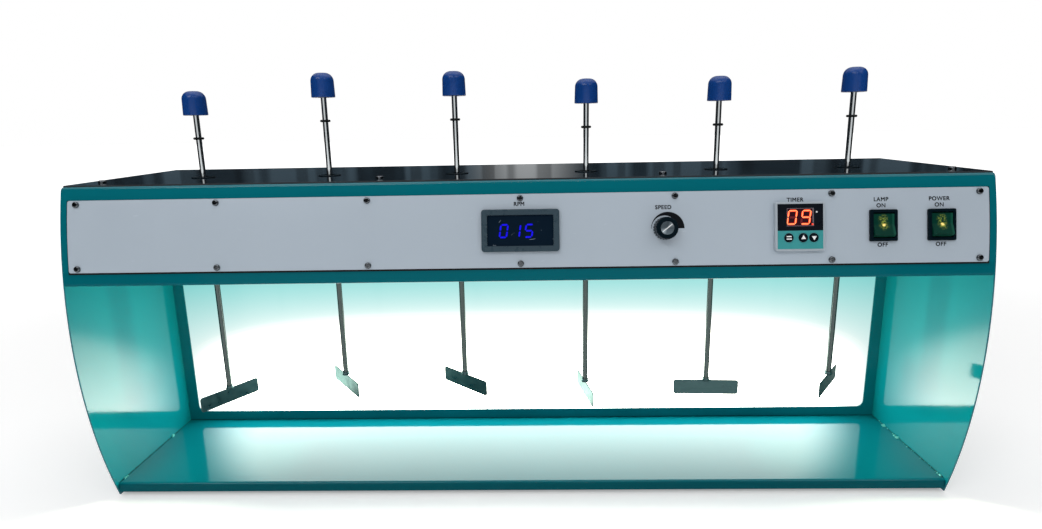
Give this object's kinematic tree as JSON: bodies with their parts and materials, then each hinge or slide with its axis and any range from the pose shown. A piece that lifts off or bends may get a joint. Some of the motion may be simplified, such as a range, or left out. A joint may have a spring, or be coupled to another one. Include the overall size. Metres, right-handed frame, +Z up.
{
  "type": "jar tester",
  "caption": "Bench jar tester: a bowed head over an open lit bay turns a row of lift-out paddle stirrers, with speed, timer and lamp controls on its fascia.",
  "frame": {"origin": "middle of the footprint, on the bench under the feet", "axes": "+X to the user's right along the row of stirrers, +Y to the back, +Z up"},
  "size_m": [0.93, 0.2533, 0.4658],
  "materials": {
    "teal_paint": "gloss enamel",
    "charcoal_paint": "high gloss",
    "fascia_paint": "satin printed plate",
    "screw_steel": "bright zinc plate",
    "zinc_sheet": "zinc plated sheet",
    "stainless": "polished stainless steel",
    "bronze": "sintered bronze",
    "black_plastic": "moulded, fine grain",
    "grey_plastic": "moulded bezel",
    "light_plastic": "moulded bezel",
    "blue_plastic": "moulded, semi gloss",
    "white_plastic": "moulded",
    "opal_acrylic": "opal, translucent",
    "lamp_glass": "white coated glass",
    "display_window": "smoked clear window",
    "green_lens": "translucent, lit",
    "motor_steel": "zinc plated can",
    "board": "circuit board",
    "belt_rubber": "round drive belt",
    "foot_rubber": "moulded"
  },
  "bodies": {
    "case": {"base_pan": "teal_paint", "side_panel_left": "teal_paint", "side_panel_right": "teal_paint", "window_frame": "teal_paint", "light_diffuser": "opal_acrylic", "lamp_tube": "lamp_glass", "lamp_holders": "white_plastic", "lamp_ballast": "white_plastic", "rear_cover": "teal_paint", "head_front": "teal_paint", "fascia_plate": "fascia_paint", "fascia_screws": "screw_steel", "top_cover": "charcoal_paint", "case_screws": "screw_steel", "head_floor": "zinc_sheet", "rubber_feet": "foot_rubber", "bearing_deck": "zinc_sheet", "spindle_bushes": "bronze", "top_grommets": "black_plastic", "drive_belts": "belt_rubber", "gear_motor": "motor_steel", "motor_bracket": "zinc_sheet", "rpm_meter": "grey_plastic", "rpm_window": "display_window", "speed_pot": "zinc_sheet", "timer_case": "light_plastic", "switch_frames": "black_plastic", "control_board": "board", "power_inlet": "black_plastic"},
    "motor_shaft": {"motor_pulley": "black_plastic"},
    "spindle_1": {"drive_spindle_1": "stainless"},
    "stirrer_1": {"stirrer_rod_1": "stainless", "lift_knob_1": "blue_plastic", "paddle_1": "stainless"},
    "spindle_2": {"drive_spindle_2": "stainless"},
    "stirrer_2": {"stirrer_rod_2": "stainless", "lift_knob_2": "blue_plastic", "paddle_2": "stainless"},
    "spindle_3": {"drive_spindle_3": "stainless"},
    "stirrer_3": {"stirrer_rod_3": "stainless", "lift_knob_3": "blue_plastic", "paddle_3": "stainless"},
    "spindle_4": {"drive_spindle_4": "stainless"},
    "stirrer_4": {"stirrer_rod_4": "stainless", "lift_knob_4": "blue_plastic", "paddle_4": "stainless"},
    "spindle_5": {"drive_spindle_5": "stainless"},
    "stirrer_5": {"stirrer_rod_5": "stainless", "lift_knob_5": "blue_plastic", "paddle_5": "stainless"},
    "spindle_6": {"drive_spindle_6": "stainless"},
    "stirrer_6": {"stirrer_rod_6": "stainless", "lift_knob_6": "blue_plastic", "paddle_6": "stainless"},
    "speed_dial": {"speed_knob": "black_plastic"},
    "lamp_switch": {"lamp_rocker": "green_lens"},
    "power_switch": {"power_rocker": "green_lens"},
    "timer_set": {"timer_set_button": "black_plastic"},
    "timer_up": {"timer_up_button": "black_plastic"},
    "timer_down": {"timer_down_button": "black_plastic"}
  },
  "joints": [
    {"name": "motor_spin", "type": "hinge", "parent": "case", "child": "motor_shaft", "pos_m": [-0.35875, 0.05964, 0.3288], "axis": [0, 0, 1], "continuous": true},
    {"name": "spindle_1_spin", "type": "hinge", "parent": "case", "child": "spindle_1", "pos_m": [-0.35875, -0.01636, 0.3288], "axis": [0, 0, 1], "continuous": true},
    {"name": "stirrer_1_lift", "type": "slide", "parent": "spindle_1", "child": "stirrer_1", "axis": [0, 0, 1], "range_m": [-0.0414, 0.1464]},
    {"name": "spindle_2_spin", "type": "hinge", "parent": "case", "child": "spindle_2", "pos_m": [-0.21525, -0.01636, 0.3288], "axis": [0, 0, 1], "continuous": true},
    {"name": "stirrer_2_lift", "type": "slide", "parent": "spindle_2", "child": "stirrer_2", "axis": [0, 0, 1], "range_m": [-0.0579, 0.1299]},
    {"name": "spindle_3_spin", "type": "hinge", "parent": "case", "child": "spindle_3", "pos_m": [-0.07175, -0.01636, 0.3288], "axis": [0, 0, 1], "continuous": true},
    {"name": "stirrer_3_lift", "type": "slide", "parent": "spindle_3", "child": "stirrer_3", "axis": [0, 0, 1], "range_m": [-0.0569, 0.1309]},
    {"name": "spindle_4_spin", "type": "hinge", "parent": "case", "child": "spindle_4", "pos_m": [0.07175, -0.01636, 0.3288], "axis": [0, 0, 1], "continuous": true},
    {"name": "stirrer_4_lift", "type": "slide", "parent": "spindle_4", "child": "stirrer_4", "axis": [0, 0, 1], "range_m": [-0.0464, 0.1414]},
    {"name": "spindle_5_spin", "type": "hinge", "parent": "case", "child": "spindle_5", "pos_m": [0.21525, -0.01636, 0.3288], "axis": [0, 0, 1], "continuous": true},
    {"name": "stirrer_5_lift", "type": "slide", "parent": "spindle_5", "child": "stirrer_5", "axis": [0, 0, 1], "range_m": [-0.0464, 0.1414]},
    {"name": "spindle_6_spin", "type": "hinge", "parent": "case", "child": "spindle_6", "pos_m": [0.35875, -0.01636, 0.3288], "axis": [0, 0, 1], "continuous": true},
    {"name": "stirrer_6_lift", "type": "slide", "parent": "spindle_6", "child": "stirrer_6", "axis": [0, 0, 1], "range_m": [-0.0529, 0.1349]},
    {"name": "speed_turn", "type": "hinge", "parent": "case", "child": "speed_dial", "pos_m": [0.142, -0.11058, 0.30525], "axis": [0, -0.9794, 0.202], "range_deg": [-100, 200]},
    {"name": "lamp_rock", "type": "hinge", "parent": "case", "child": "lamp_switch", "pos_m": [0.354, -0.10764, 0.30464], "axis": [1, 0, 0], "range_deg": [0, 18]},
    {"name": "power_rock", "type": "hinge", "parent": "case", "child": "power_switch", "pos_m": [0.41, -0.10764, 0.30464], "axis": [1, 0, 0], "range_deg": [0, 18]},
    {"name": "timer_set_press", "type": "slide", "parent": "case", "child": "timer_set", "axis": [0, 0.9794, -0.202], "range_m": [0, 0.0008], "stiffness_N_per_m": 600, "springref_m": -0.0008},
    {"name": "timer_up_press", "type": "slide", "parent": "case", "child": "timer_up", "axis": [0, 0.9794, -0.202], "range_m": [0, 0.0008], "stiffness_N_per_m": 600, "springref_m": -0.0008},
    {"name": "timer_down_press", "type": "slide", "parent": "case", "child": "timer_down", "axis": [0, 0.9794, -0.202], "range_m": [0, 0.0008], "stiffness_N_per_m": 600, "springref_m": -0.0008}
  ],
  "couplings": [
    {"joint": "spindle_1_spin", "follows": "motor_spin", "ratio": 1},
    {"joint": "spindle_2_spin", "follows": "motor_spin", "ratio": 1},
    {"joint": "spindle_3_spin", "follows": "motor_spin", "ratio": 1},
    {"joint": "spindle_4_spin", "follows": "motor_spin", "ratio": 1},
    {"joint": "spindle_5_spin", "follows": "motor_spin", "ratio": 1},
    {"joint": "spindle_6_spin", "follows": "motor_spin", "ratio": 1}
  ]
}
